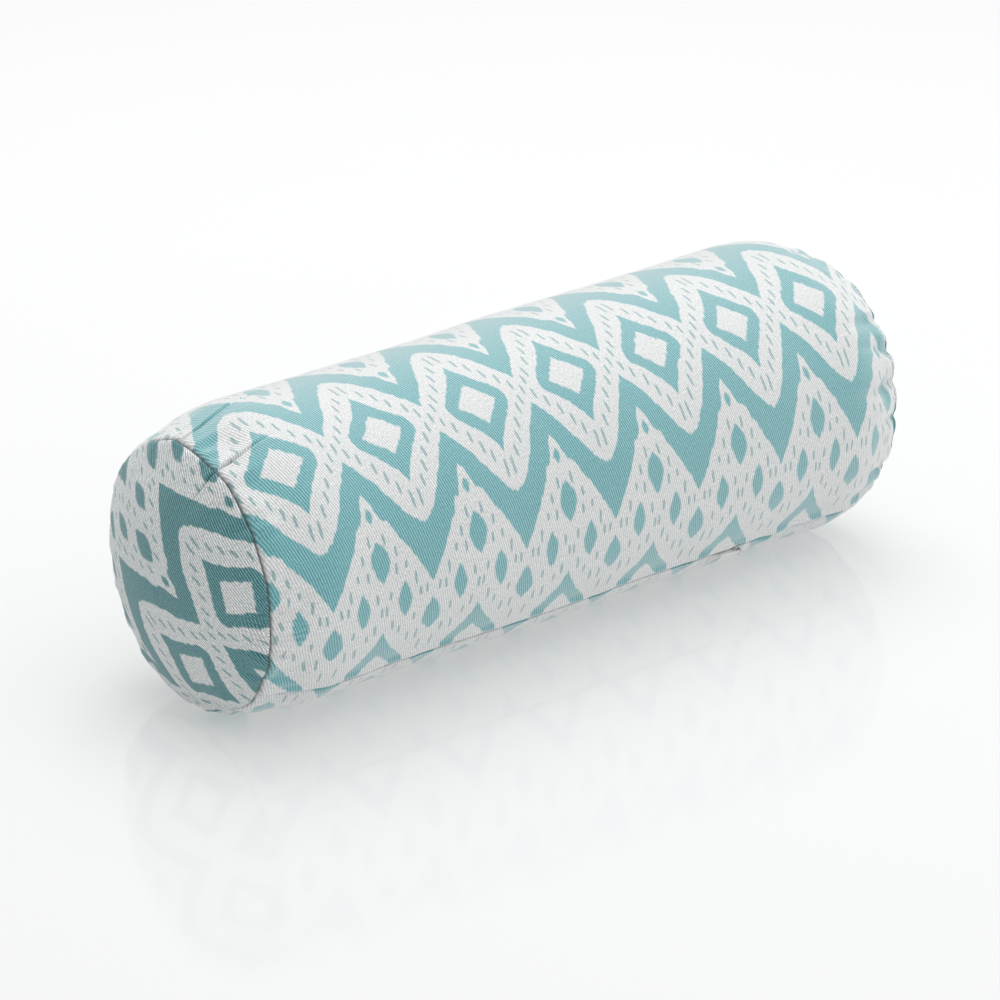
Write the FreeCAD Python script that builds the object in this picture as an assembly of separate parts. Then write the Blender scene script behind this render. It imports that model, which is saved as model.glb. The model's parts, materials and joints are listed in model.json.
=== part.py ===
import FreeCAD, Part
import math
import os

# A bolster pillow lying on its side: a zipped cotton cover over a fibre-filled inner cushion.
# Millimetres, +Z up, X along the roll with its slimmer end at -X, and -Y towards the front.
# The origin is on the floor under the middle of the roll.

# The roll
SEAM_SPAN = 456.0          # from one end seam to the other
CROWN = 21.0               # how far each end panel bulges past its seam
LEFT_RADIUS = 83.0         # the roll's radius at the left end, before the tuck at the seam
TAPER = 0.022              # growth of the radius per mm towards the right
AXIS_SHARE = 0.952         # height of the roll's axis over its radius; below 1, so the underside is flat
SHOULDER = 42.0            # length over which each end draws in to its seam
SHOULDER_POWER = 1.8       # how suddenly it draws in
END_TUCK = 0.127           # share of the radius drawn in at the seam
END_DROP = 1.5             # how far the roll's axis sinks there
STRAIGHT_SPANS = 12        # rings that carry the evenly growing middle

# The cover's cloth and its seams
CLOTH = 0.8                # thickness, print cloth and its puffiness together
GAP = 0.15                 # air between two layers that lie on each other
ALLOWANCE = 10.0           # width of the cloth turned in at each seam
TURN_START = 0.05          # where the fold at the slit begins, under the cloth's face
THREAD = 0.2               # radius of the sewing thread
STITCH = 2.2               # length of one stitch
STITCH_PITCH = 3.0
OVERLOCK_WIDTH = 1.5

# The inner cushion
CASE_INSET = 4.0           # from the cover's outer face to the inner case
CASE_CLOTH = 0.6
FILLING_INSET = 6.0
CUSHION_NECK = 16.0        # beside each end seam it stays slim, to leave room for the cover's turned-in edges
CASE_SEAM_ANGLE = -60.0    # about the roll, from the top, towards the front
FILLING_SLOT = 60.0        # half the length of the hand-sewn closing
CLOSING_PITCH = 6.0
CLOSING_STITCH = 4.0
CASE_SEAM_END = 165.0

# The zip, in its own frame: X along the slit, Y up the front of the roll, Z outwards from the cloth
ZIP_ANGLE = 129.5          # about the roll, from the top, towards the front
ZIP_MIDDLE = -28.0         # where the middle of the slit lies along the roll
SLIT_HALF_LENGTH = 150.0
SLIT_HALF_WIDTH = 0.8
FOLD_DEPTH = 2.7           # from the cloth's face to the underside of the turned-in edge
TAPE_HALF_LENGTH = 156.0
TAPE_EDGE = 14.0
TAPE_TOP = -2.9
TAPE_THICKNESS = 0.6
COIL_HALF_LENGTH = 142.0
COIL_INNER = 1.0
COIL_SPINE = 2.6
COIL_OUTER = 3.4
COIL_TOP = -3.7
COIL_THICKNESS = 1.2
TOOTH_PITCH = 2.4
TOOTH_WIDTH = 1.2
STITCH_OFFSET = 8.0        # of the row of stitches from the slit
STITCH_DEPTH = 1.65
STOP_START = 143.5
STOP_LENGTH = 2.0
STOP_TOP = -3.6
STOP_BOTTOM = -5.0
STOP_HALF_WIDTH = 3.6
STOP_ROUNDING = 0.3
CUSHION_FACET = 7.0        # depth under the slit at which the inner cushion is pressed flat

# The slider and its pull
SLIDER_REST = 136.0        # the closed zip's slider, along the slit from its middle
SLIDER_HALF = 4.5
PLATE_HALF_WIDTH = 4.6
PLATE_TOP = -5.2
PLATE_THICKNESS = 1.0
PLATE_ROUNDING = 1.5
RAIL_THICKNESS = 0.8
RAIL_TOP = -3.9
NECK_HALF_LENGTH = 3.5
NECK_HALF_WIDTH = 0.5
NECK_ROUNDING = 0.4
BRIDGE_BOTTOM = 0.5
BRIDGE_THICKNESS = 0.8
EAR_INNER = 1.9
EAR_OUTER = 2.7
EAR_HALF_LENGTH = 1.6
EAR_TOP = 4.4
EAR_ROUNDING = 1.2
PIN_HEIGHT = 3.1
PIN_RADIUS = 0.6
PIN_PLAY = 0.06
PIN_RECESS = 0.2           # of the pin's ends in the ears
OVERLAP = 0.2              # how far the slider's pieces reach into each other
EYE_RADIUS = 1.5
EYE_HALF_WIDTH = 1.6
PULL_NECK = 1.3            # half the pull's width beside the eye
PULL_SHOULDER = 4.0        # from the pin to where it begins to widen
PULL_WIDEST = 2.6
PULL_LENGTH = 18.0         # from the pin to the rounded tip
PULL_THICKNESS = 1.0

HALF_SPAN = SEAM_SPAN / 2.0
ALONG = FreeCAD.Vector(1, 0, 0)


def tuck(x):
    """How far the end draws the roll in at x: 1 at a seam, 0 past the shoulder."""
    from_seam = HALF_SPAN - abs(x)
    return max(0.0, 1.0 - from_seam / SHOULDER) ** SHOULDER_POWER


def roll_radius(x):
    return LEFT_RADIUS + TAPER * (x + HALF_SPAN)


def radius(x):
    return roll_radius(x) * (1.0 - END_TUCK * tuck(x))


def axis_height(x):
    return roll_radius(x) * AXIS_SHARE - END_DROP * tuck(x)


def surface_point(x, angle, depth):
    """A point at a depth under the roll's face; the angle is from the top, towards the front."""
    reach = radius(x) - depth
    turn = math.radians(angle)
    return FreeCAD.Vector(x, -reach * math.sin(turn), axis_height(x) + reach * math.cos(turn))


def roll(inset, trim=0.0, neck=0.0):
    """The roll between its seams, flat underneath, shrunk by inset and cut short by trim at each end.

    Over a length of neck beside each seam it keeps the seam's size.
    """
    from_seam = [trim] + [share * SHOULDER for share in (0.12, 0.24, 0.36, 0.6, 0.8)]
    straight = SEAM_SPAN - 2 * SHOULDER
    stations = [-HALF_SPAN + step for step in from_seam]
    stations += [-straight / 2 + straight * number / STRAIGHT_SPANS for number in range(STRAIGHT_SPANS + 1)]
    stations += [HALF_SPAN - step for step in reversed(from_seam)]
    rings = []
    for x in stations:
        like = math.copysign(HALF_SPAN, x) if HALF_SPAN - abs(x) < neck else x
        centre = FreeCAD.Vector(x, 0, axis_height(like))
        rings.append(Part.Wire(Part.makeCircle(radius(like) - inset, centre, ALONG)))
    body = Part.makeLoft(rings, True, False)
    above_floor = Part.makeBox(2 * SEAM_SPAN, 2 * SEAM_SPAN, SEAM_SPAN,
                               FreeCAD.Vector(-SEAM_SPAN, -SEAM_SPAN, inset))
    return body.common(above_floor)


def seam_ring(side):
    """The radius and centre of the left (-1) or right (1) end seam."""
    x = side * HALF_SPAN
    return radius(x), FreeCAD.Vector(x, 0, axis_height(x))


def cylinder(side, reach, start, length):
    """A cylinder about an end seam's axis; start is its distance from the seam, inwards."""
    inwards = ALONG * -side
    return Part.makeCylinder(reach, length, seam_ring(side)[1] + inwards * start, inwards)


def ring_face(outer, inner):
    """The flat face between two rings in one plane."""
    return Part.Face(Part.Face(outer).cut(Part.Face(inner)).Faces[0])


def ring_of(side, reach, from_seam):
    return Part.Wire(Part.makeCircle(reach, seam_ring(side)[1] - ALONG * side * from_seam, ALONG))


def end_ring(solid, side):
    """The ring at the left (-1) or right (1) end of a roll."""
    return max(solid.Faces, key=lambda face: side * face.CenterOfMass.x).OuterWire


def long_faces(solid):
    return [face for face in solid.Faces if face.BoundBox.XLength > ALLOWANCE]


def closed_solid(faces):
    """The solid that a closed set of faces encloses."""
    skin = Part.makeCompound(faces)
    skin.sewShape()
    solid = Part.makeSolid(Part.Shell(skin.Faces))
    if solid.Volume < 0:
        solid.reverse()
    return solid


def bulge(rim, crown):
    """The profile of an end from its middle to its rim: the height falls with the cube of the radius."""
    profile = Part.BezierCurve()
    profile.setPoles([FreeCAD.Vector(share * rim, 0, height) for share, height in
                      ((0, crown), (1 / 3, crown), (2 / 3, crown), (1, 0))])
    return profile


def spun_end(side, edges):
    """A solid turned about an end seam's axis from its outline in radius and height past the seam."""
    outline = Part.Wire(Part.__sortEdges__(edges))
    solid = Part.Face(outline).revolve(FreeCAD.Vector(0, 0, 0), FreeCAD.Vector(0, 0, 1), 360)
    turn = FreeCAD.Rotation(FreeCAD.Vector(0, 0, 1), ALONG * side)
    solid.Placement = FreeCAD.Placement(seam_ring(side)[1] + ALONG * side * GAP, turn)
    return solid


def lines_through(points):
    places = [FreeCAD.Vector(reach, 0, height) for reach, height in points]
    return [Part.makeLine(start, end) for start, end in zip(places, places[1:])]


def dome(side, inset):
    """The bulge of an end past its seam, shrunk by inset."""
    rim = seam_ring(side)[0] - inset
    crown = CROWN - GAP - inset
    return spun_end(side, [bulge(rim, crown).toShape()] + lines_through([(rim, 0), (0, 0), (0, crown)]))


def between(start, end):
    """One stitch: a short straight thread from start to end."""
    run = end - start
    return Part.makeCylinder(THREAD, run.Length, start, run)


def stitches_along(angle, depth, start, end, pitch=STITCH_PITCH, length=STITCH):
    """A row of stitches along the roll."""
    count = int((end - start - length) / pitch) + 1
    places = [start + pitch * number for number in range(count)]
    return Part.makeCompound([between(surface_point(x, angle, depth), surface_point(x + length, angle, depth))
                              for x in places])


def stitches_around(side, inset, from_seam):
    """A ring of stitches about an end seam."""
    seam, centre = seam_ring(side)
    reach = seam - inset
    middle = centre - ALONG * side * from_seam
    count = int(2 * math.pi * reach / STITCH_PITCH)
    top = middle + FreeCAD.Vector(0, 0, reach)
    first = between(top - FreeCAD.Vector(0, STITCH / 2, 0), top + FreeCAD.Vector(0, STITCH / 2, 0))
    ring = []
    for number in range(count):
        stitch = first.copy()
        stitch.rotate(middle, ALONG, 360.0 * number / count)
        ring.append(stitch)
    return Part.makeCompound(ring)


def zip_frame():
    """Where the zip's own frame sits on the roll."""
    middle = surface_point(ZIP_MIDDLE, ZIP_ANGLE, 0)
    along = surface_point(ZIP_MIDDLE + 100, ZIP_ANGLE, 0) - middle
    along.normalize()
    turn = math.radians(ZIP_ANGLE)
    outwards = FreeCAD.Vector(0, -math.sin(turn), math.cos(turn))
    up_front = outwards.cross(along)
    up_front.normalize()
    outwards = along.cross(up_front)
    return FreeCAD.Placement(middle, FreeCAD.Rotation(along, up_front, outwards, "XYZ"))


ZIP_FRAME = zip_frame()


def block(x_range, y_range, z_range):
    """A box between two corners."""
    low = [min(pair) for pair in (x_range, y_range, z_range)]
    size = [abs(pair[1] - pair[0]) for pair in (x_range, y_range, z_range)]
    return Part.makeBox(size[0], size[1], size[2], FreeCAD.Vector(low[0], low[1], low[2]))


def on_zip(shape):
    """Move a shape from the zip's frame to the pillow's."""
    moved = shape.copy()
    moved.Placement = ZIP_FRAME.multiply(moved.Placement)
    return moved


def rounded(shape, size, direction):
    """Round the straight edges of a shape that run along a direction."""
    edges = [edge for edge in shape.Edges
             if isinstance(edge.Curve, Part.Line) and abs(edge.Curve.Direction.dot(direction)) > 0.99]
    return shape.makeFillet(size, edges)


# The cover

def turned_edge(side):
    """The cover's edge beside the slit, folded in and lying flat under the cloth, above (1) or below (-1)."""
    fold = block((-SLIT_HALF_LENGTH, SLIT_HALF_LENGTH),
                 (side * SLIT_HALF_WIDTH, side * (SLIT_HALF_WIDTH + CLOTH)), (-FOLD_DEPTH, -TURN_START))
    flap = block((-TAPE_HALF_LENGTH, TAPE_HALF_LENGTH),
                 (side * (SLIT_HALF_WIDTH + CLOTH / 2), side * (SLIT_HALF_WIDTH + ALLOWANCE)),
                 (-FOLD_DEPTH, -FOLD_DEPTH + CLOTH))
    return fold.fuse(flap)


def end_fold(side, outside, inside):
    """The faces of the cloth's edge at an end seam: it turns back at the seam and runs inside the roll."""
    edge_outer = seam_ring(side)[0] - CLOTH - GAP
    edge_inner = edge_outer - CLOTH
    return [ring_face(end_ring(outside, side), ring_of(side, edge_inner, 0)),
            long_side(cylinder(side, edge_inner, 0, ALLOWANCE)),
            ring_face(ring_of(side, edge_outer, ALLOWANCE), ring_of(side, edge_inner, ALLOWANCE)),
            long_side(cylinder(side, edge_outer, CLOTH, ALLOWANCE - CLOTH)),
            ring_face(end_ring(inside, side), ring_of(side, edge_outer, CLOTH))]


def long_side(solid):
    """The curved face of a cylinder."""
    return max(solid.Faces, key=lambda face: face.BoundBox.XLength)


def cover_body_panel():
    outside = roll(0)
    inside = roll(CLOTH, CLOTH)
    faces = long_faces(outside) + long_faces(inside)
    for side in (-1, 1):
        faces += end_fold(side, outside, inside)
    slit = block((-SLIT_HALF_LENGTH, SLIT_HALF_LENGTH), (-SLIT_HALF_WIDTH, SLIT_HALF_WIDTH),
                 (-2 * CLOTH, 2 * CLOTH))
    panel = closed_solid(faces).cut(on_zip(slit))
    return panel.fuse([on_zip(turned_edge(side)) for side in (-1, 1)])


def cover_end_panel(side):
    """A round end: its dome, the fold at the seam and the edge turned in along the roll."""
    seam = seam_ring(side)[0]
    crown = CROWN - GAP
    outside = bulge(seam, crown)
    inside = bulge(seam - CLOTH, crown - CLOTH)
    fold_share = (1 - CLOTH / (crown - CLOTH)) ** (1 / 3)
    inside.segment(0, fold_share)
    edge_outer = seam - 2 * CLOTH - 2 * GAP
    edge_inner = edge_outer - CLOTH
    folded = lines_through([(seam, 0), (edge_outer, 0), (edge_outer, -ALLOWANCE), (edge_inner, -ALLOWANCE),
                            (edge_inner, CLOTH), ((seam - CLOTH) * fold_share, CLOTH)])
    middle = lines_through([(0, crown - CLOTH), (0, crown)])
    return spun_end(side, [outside.toShape(), inside.toShape()] + folded + middle)


def end_overlock(side):
    """The thread edging over the raw edges of both layers at an end seam."""
    seam = seam_ring(side)[0]
    band = cylinder(side, seam - CLOTH, ALLOWANCE + GAP, OVERLOCK_WIDTH)
    return band.cut(cylinder(side, seam - 3 * CLOTH - 3 * GAP, ALLOWANCE + GAP, OVERLOCK_WIDTH))


def end_seam_stitches(side):
    return stitches_around(side, 3 * CLOTH + 3 * GAP + THREAD, ALLOWANCE / 4)


def long_seam_stitches(side):
    """The stitches that close the long seam from the end of the zip to an end seam."""
    if side < 0:
        return stitches_along(ZIP_ANGLE, 2 * CLOTH, ALLOWANCE + OVERLOCK_WIDTH + 1 - HALF_SPAN,
                              ZIP_MIDDLE - TAPE_HALF_LENGTH - 1)
    return stitches_along(ZIP_ANGLE, 2 * CLOTH, ZIP_MIDDLE + TAPE_HALF_LENGTH + 1,
                          HALF_SPAN - ALLOWANCE - OVERLOCK_WIDTH - 1)


# The zip

def zip_tape(side):
    across = (side * (SLIT_HALF_WIDTH + CLOTH), side * TAPE_EDGE)
    return on_zip(block((-TAPE_HALF_LENGTH, TAPE_HALF_LENGTH), across, (TAPE_TOP, TAPE_TOP - TAPE_THICKNESS)))


def zip_coil(side):
    """One half of the coil: a spine with a row of teeth."""
    outline = [(-COIL_HALF_LENGTH, COIL_OUTER), (-COIL_HALF_LENGTH, COIL_SPINE)]
    count = int(2 * COIL_HALF_LENGTH / TOOTH_PITCH)
    for number in range(count):
        start = -COIL_HALF_LENGTH + TOOTH_PITCH * (number + 0.25)
        outline += [(start, COIL_SPINE), (start, COIL_INNER), (start + TOOTH_WIDTH, COIL_INNER),
                    (start + TOOTH_WIDTH, COIL_SPINE)]
    outline += [(COIL_HALF_LENGTH, COIL_SPINE), (COIL_HALF_LENGTH, COIL_OUTER), outline[0]]
    points = [FreeCAD.Vector(x, side * y, COIL_TOP) for x, y in outline]
    comb = Part.Face(Part.makePolygon(points)).extrude(FreeCAD.Vector(0, 0, -COIL_THICKNESS))
    return on_zip(comb)


def zip_stitching(side):
    """The row of stitches that holds a tape under the cover's turned-in edge."""
    count = int(2 * SLIT_HALF_LENGTH / STITCH_PITCH)
    row = []
    for number in range(count):
        start = FreeCAD.Vector(-SLIT_HALF_LENGTH + STITCH_PITCH * number, side * STITCH_OFFSET, -STITCH_DEPTH)
        row.append(between(start, start + ALONG * STITCH))
    return on_zip(Part.makeCompound(row))


def stop_block(along, low_side, high_side):
    plain = block((along, along + STOP_LENGTH), (low_side, high_side), (STOP_TOP, STOP_BOTTOM))
    return rounded(plain, STOP_ROUNDING, ALONG)


def zip_top_stops():
    """The two crimped stops where the closed zip's slider comes to rest."""
    return on_zip(Part.makeCompound([stop_block(STOP_START, COIL_INNER, STOP_HALF_WIDTH),
                                     stop_block(STOP_START, -STOP_HALF_WIDTH, -COIL_INNER)]))


def zip_bottom_stop():
    return on_zip(stop_block(-STOP_START - STOP_LENGTH, -STOP_HALF_WIDTH, STOP_HALF_WIDTH))


def zip_slider():
    """The slider's channel behind the coil, the neck through the slit, and the ears and pin outside."""
    outwards = FreeCAD.Vector(0, 0, 1)
    plate = rounded(block((-SLIDER_HALF, SLIDER_HALF), (-PLATE_HALF_WIDTH, PLATE_HALF_WIDTH),
                          (PLATE_TOP, PLATE_TOP - PLATE_THICKNESS)), PLATE_ROUNDING, outwards)
    neck = rounded(block((-NECK_HALF_LENGTH, NECK_HALF_LENGTH), (-NECK_HALF_WIDTH, NECK_HALF_WIDTH),
                         (PLATE_TOP - OVERLAP, BRIDGE_BOTTOM + OVERLAP)), NECK_ROUNDING, outwards)
    bridge = rounded(block((-SLIDER_HALF, SLIDER_HALF), (-EAR_OUTER, EAR_OUTER),
                           (BRIDGE_BOTTOM, BRIDGE_BOTTOM + BRIDGE_THICKNESS)), PLATE_ROUNDING, outwards)
    pin = Part.makeCylinder(PIN_RADIUS, 2 * (EAR_OUTER - PIN_RECESS),
                            FreeCAD.Vector(0, PIN_RECESS - EAR_OUTER, PIN_HEIGHT), FreeCAD.Vector(0, 1, 0))
    pieces = [neck, bridge, pin]
    rail_half = SLIDER_HALF - PLATE_ROUNDING
    for side in (-1, 1):
        pieces.append(block((-rail_half, rail_half),
                            (side * (PLATE_HALF_WIDTH - RAIL_THICKNESS), side * PLATE_HALF_WIDTH),
                            (PLATE_TOP - OVERLAP, RAIL_TOP)))
        ear = block((-EAR_HALF_LENGTH, EAR_HALF_LENGTH), (side * EAR_INNER, side * EAR_OUTER),
                    (BRIDGE_BOTTOM + OVERLAP, EAR_TOP))
        top_edges = [edge for edge in ear.Edges
                     if edge.BoundBox.ZMin > PIN_HEIGHT and edge.BoundBox.YLength > RAIL_THICKNESS / 2]
        pieces.append(ear.makeFillet(EAR_ROUNDING, top_edges))
    slider = plate.fuse(pieces)
    slider.translate(ALONG * SLIDER_REST)
    return on_zip(slider)


def zip_pull():
    """The pull: an eye about the slider's pin and a drop-shaped tab, lying flat along the closed zip."""
    low = PIN_HEIGHT - PULL_THICKNESS / 2
    widest_at = PULL_LENGTH - PULL_WIDEST
    corners = [FreeCAD.Vector(-x, y, low) for x, y in
               ((widest_at, PULL_WIDEST), (PULL_SHOULDER, PULL_NECK), (0, PULL_NECK),
                (0, -PULL_NECK), (PULL_SHOULDER, -PULL_NECK), (widest_at, -PULL_WIDEST))]
    sides = [Part.makeLine(start, end) for start, end in zip(corners, corners[1:])]
    tip = Part.Arc(corners[-1], FreeCAD.Vector(-PULL_LENGTH, 0, low), corners[0]).toShape()
    tab = Part.Face(Part.Wire(sides + [tip])).extrude(FreeCAD.Vector(0, 0, PULL_THICKNESS))
    across = FreeCAD.Vector(0, 1, 0)
    eye_end = FreeCAD.Vector(0, -EYE_HALF_WIDTH, PIN_HEIGHT)
    eye = Part.makeCylinder(EYE_RADIUS, 2 * EYE_HALF_WIDTH, eye_end, across)
    hole = Part.makeCylinder(PIN_RADIUS + PIN_PLAY, 2 * EYE_HALF_WIDTH, eye_end, across)
    pull = tab.fuse(eye).cut(hole)
    pull.translate(ALONG * SLIDER_REST)
    return on_zip(pull)


# The inner cushion

def pressed_flat(solid, depth):
    """Flatten a solid at a depth under the slit, where the zip and its tapes take up room."""
    above = block((-SEAM_SPAN, SEAM_SPAN), (-LEFT_RADIUS, LEFT_RADIUS), (-depth, LEFT_RADIUS))
    return solid.cut(on_zip(above))


def inner_case_body():
    outside = pressed_flat(roll(CASE_INSET, neck=CUSHION_NECK), CUSHION_FACET)
    inside = pressed_flat(roll(CASE_INSET + CASE_CLOTH, neck=CUSHION_NECK), CUSHION_FACET + CASE_CLOTH)
    faces = long_faces(outside) + long_faces(inside)
    for side in (-1, 1):
        faces.append(ring_face(end_ring(outside, side), end_ring(inside, side)))
    return closed_solid(faces)


def inner_case_end(side):
    return dome(side, CASE_INSET).cut(dome(side, CASE_INSET + CASE_CLOTH))


def inner_seam_stitches(side):
    return stitches_around(side, CASE_INSET + CASE_CLOTH + 4 * THREAD, 2)


def inner_long_seam_stitches():
    """The machine-sewn stretches of the inner case's long seam, either side of its filling slot."""
    depth = CASE_INSET - 3 * THREAD
    rows = [stitches_along(CASE_SEAM_ANGLE, depth, -CASE_SEAM_END, -FILLING_SLOT),
            stitches_along(CASE_SEAM_ANGLE, depth, FILLING_SLOT, CASE_SEAM_END)]
    return Part.makeCompound([stitch for row in rows for stitch in row.Solids])


def inner_closing_stitches():
    return stitches_along(CASE_SEAM_ANGLE, CASE_INSET - 3 * THREAD, 1 - FILLING_SLOT, FILLING_SLOT - 1,
                          CLOSING_PITCH, CLOSING_STITCH)


def fibre_filling():
    middle = pressed_flat(roll(FILLING_INSET, neck=CUSHION_NECK), CUSHION_FACET + 3 * CASE_CLOTH)
    ends = []
    for side in (-1, 1):
        core = seam_ring(side)[0] - 2 * FILLING_INSET
        ends += [dome(side, FILLING_INSET), cylinder(side, core, -2 * GAP, 4 * GAP)]
    return middle.fuse(ends)


def all_parts():
    parts = {
        "cover_body_panel": cover_body_panel(),
        "zip_top_stops": zip_top_stops(),
        "zip_bottom_stop": zip_bottom_stop(),
        "zip_slider": zip_slider(),
        "zip_pull": zip_pull(),
        "inner_case_body": inner_case_body(),
        "inner_long_seam_stitches": inner_long_seam_stitches(),
        "inner_closing_stitches": inner_closing_stitches(),
        "fibre_filling": fibre_filling(),
    }
    for side, name in ((-1, "left"), (1, "right")):
        parts["cover_%s_end_panel" % name] = cover_end_panel(side)
        parts["%s_end_seam_stitches" % name] = end_seam_stitches(side)
        parts["%s_end_overlock" % name] = end_overlock(side)
        parts["%s_long_seam_stitches" % name] = long_seam_stitches(side)
        parts["inner_case_%s_end" % name] = inner_case_end(side)
        parts["inner_%s_seam_stitches" % name] = inner_seam_stitches(side)
    for side, name in ((-1, "lower"), (1, "upper")):
        parts["zip_tape_%s" % name] = zip_tape(side)
        parts["zip_coil_%s" % name] = zip_coil(side)
        parts["zip_stitching_%s" % name] = zip_stitching(side)
    return parts


def main():
    os.makedirs("parts", exist_ok=True)
    for name, shape in all_parts().items():
        shape.exportStep("parts/%s.step" % name)
        facts = (name, len(shape.Solids), shape.Volume, shape.isValid())
        print("%-26s solids %3d  volume %10.1f  valid %s" % facts)
    pin = ZIP_FRAME.multVec(FreeCAD.Vector(SLIDER_REST, 0, PIN_HEIGHT))
    print("zip along", ZIP_FRAME.Rotation.multVec(ALONG))
    print("pin across", ZIP_FRAME.Rotation.multVec(FreeCAD.Vector(0, 1, 0)))
    print("pin at", pin)
    print("slider travel", 2 * SLIDER_REST)


main()
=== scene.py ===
import json
import math

import bpy
import numpy as np
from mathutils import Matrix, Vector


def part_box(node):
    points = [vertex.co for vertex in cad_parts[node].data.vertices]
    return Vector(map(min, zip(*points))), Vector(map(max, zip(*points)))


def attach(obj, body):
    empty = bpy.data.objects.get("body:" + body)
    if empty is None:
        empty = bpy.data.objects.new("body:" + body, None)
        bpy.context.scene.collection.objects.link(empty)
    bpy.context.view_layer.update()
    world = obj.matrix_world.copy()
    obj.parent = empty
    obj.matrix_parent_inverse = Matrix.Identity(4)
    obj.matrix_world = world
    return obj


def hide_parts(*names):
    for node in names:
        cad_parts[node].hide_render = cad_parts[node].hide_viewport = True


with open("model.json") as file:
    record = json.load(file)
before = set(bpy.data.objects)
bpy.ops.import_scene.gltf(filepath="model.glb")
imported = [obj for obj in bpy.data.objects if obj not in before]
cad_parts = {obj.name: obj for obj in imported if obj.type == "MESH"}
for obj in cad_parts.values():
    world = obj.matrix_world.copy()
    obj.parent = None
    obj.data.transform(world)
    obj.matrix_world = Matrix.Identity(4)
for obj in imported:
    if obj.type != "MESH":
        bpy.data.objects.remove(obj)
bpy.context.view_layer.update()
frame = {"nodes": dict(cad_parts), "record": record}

# A bolster pillow: a printed twill cover over an inner cushion, lying on a pale glossy floor.
# Lengths are in millimetres until a mesh is made. Angles run about the roll in degrees, from its top
# towards the front, as in the CAD model. "Lift" is a height above the roll's plain face.

METRES = 0.001
SEED = 11

# The roll, as the CAD model has it except for the ends' profile and the cloth under the zip
HALF_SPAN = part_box("cover_body_panel")[1][0] / METRES
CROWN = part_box("cover_right_end_panel")[1][0] / METRES - HALF_SPAN
LEFT_RADIUS = 83.0
TAPER = 0.022
AXIS_SHARE = 0.952
SHOULDER = 42.0
SHOULDER_POWER = 1.8
END_TUCK = 0.127
END_DROP = 1.5
MIDDLE_RADIUS = LEFT_RADIUS + TAPER * HALF_SPAN
END_POWER = 2.5            # how square an end's profile is
FLOOR_SOFTNESS = 1.6       # how softly the cloth meets the floor
BELLY_ANGLE = 153.0        # under the zip the cloth draws in
BELLY_DEPTH = 3.9
BELLY_ABOVE = 8.5          # how far this reaches towards the zip and away from it, in degrees
BELLY_BELOW = 13.0
BELLY_POWER = 2.6
BELLY_FADE = 30.0          # it fades out over this length at the end seams
LUMP_DEPTH = 0.42          # of the stuffing's broad lumps

# The zip
ZIP_ANGLE = 129.5
ZIP_START = -178.0
ZIP_END = 122.0
ZIP_GAP = 0.85             # half the slit's width
ZIP_EASE = 1.2             # how gradually the slit opens at its ends
SEAM_GAP = 0.06            # half the gap where the seam is sewn shut
SEWN_DIP = 2.0
SEWN_DIP_REACH = 0.9
LIP_RADIUS = 0.7
LIP_DEPTH = 2.6
LIP_PUFF = 1.5             # how far the cloth above the seam swells over it
PUFF_PLACE = 5.6           # from the seam
PUFF_WIDTH = 2.3
PUCKER_DEPTH = 0.25
PUCKER_WIDTH = 4.0
BUNCH = 1.2                # the cloth bunches up past the closed end of the zip
BUNCH_PLACE = 13.0         # past that end
BUNCH_LENGTH = 9.0

# The end seams
SEAM_DIP = 2.4
SEAM_DIP_REACH = 1.0
SEAM_SWELL = 1.4
SEAM_SWELL_REACH = 9.0
BROW = 1.4                 # how much more the cloth swells over the top of the left end
BROW_ANGLE = -14.0
BROW_WIDTH = 28.0
SEAM_TURN = 3.0            # how deep the panels' edges turn in
SEAM_OPENING = 0.6         # how far each panel's edge stands off the seam
SEAM_OPENING_REACH = 0.8
CLOTH = 0.6                # the cover's thickness

# The print
REPEAT = 63.1              # width of one repeat of the print
REPEAT_TURN = 0.76         # the same around the roll, in radians
FIRST_COLUMN = 27.4        # from the left seam to the first column of diamonds
DIAMOND_ANGLE = 35.2
HALF_DROP = 2.11           # from one row of diamonds to the next, in repeats
SKEW = 0.05


# ---------------------------------------------------------------- shape of the roll

def tuck(x):
    """How far an end draws the roll in: 1 at a seam, 0 past the shoulder."""
    return np.clip(1.0 - (HALF_SPAN - np.abs(x)) / SHOULDER, 0.0, 1.0) ** SHOULDER_POWER


def roll_radius(x):
    return LEFT_RADIUS + TAPER * (x + HALF_SPAN)


def radius(x):
    return roll_radius(x) * (1.0 - END_TUCK * tuck(x))


def axis_height(x):
    return roll_radius(x) * AXIS_SHARE - END_DROP * tuck(x)


def on_floor(height, floor=0.0):
    """Press heights below the floor flat on it, softly."""
    over = height - floor
    return floor + 0.5 * (over + np.sqrt(over * over + FLOOR_SOFTNESS ** 2))


def around(x, turn, reach, height, floor=0.0):
    """Points at a reach from an axis of a given height; turn is in radians."""
    x, turn, reach, height = np.broadcast_arrays(x, turn, reach, height)
    return np.stack([x, -reach * np.sin(turn), on_floor(height + reach * np.cos(turn), floor)], axis=-1)


def waves(rng, count, lengths, orders):
    """Random waves over the roll: each has a length along it, a whole number of turns around it, a phase."""
    return [(2 * math.pi / rng.uniform(*lengths) * rng.choice((-1, 1)), int(rng.integers(*orders)),
             rng.uniform(0, 2 * math.pi)) for number in range(count)]


def wave_field(waves_used, x, turn):
    total = 0.0
    for along, order, phase in waves_used:
        total = total + np.cos(along * x + order * turn + phase)
    return total / math.sqrt(len(waves_used))


RNG = np.random.default_rng(SEED)
LUMPS = waves(RNG, 12, (90, 240), (0, 6))
CRUMPLE = waves(RNG, 26, (16, 60), (8, 26))
LEFT_GATHERS = waves(RNG, 14, (60, 200), (34, 62))
LEFT_FOLDS = waves(RNG, 10, (120, 400), (13, 24))
RIGHT_GATHERS = waves(RNG, 14, (60, 200), (26, 50))

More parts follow.
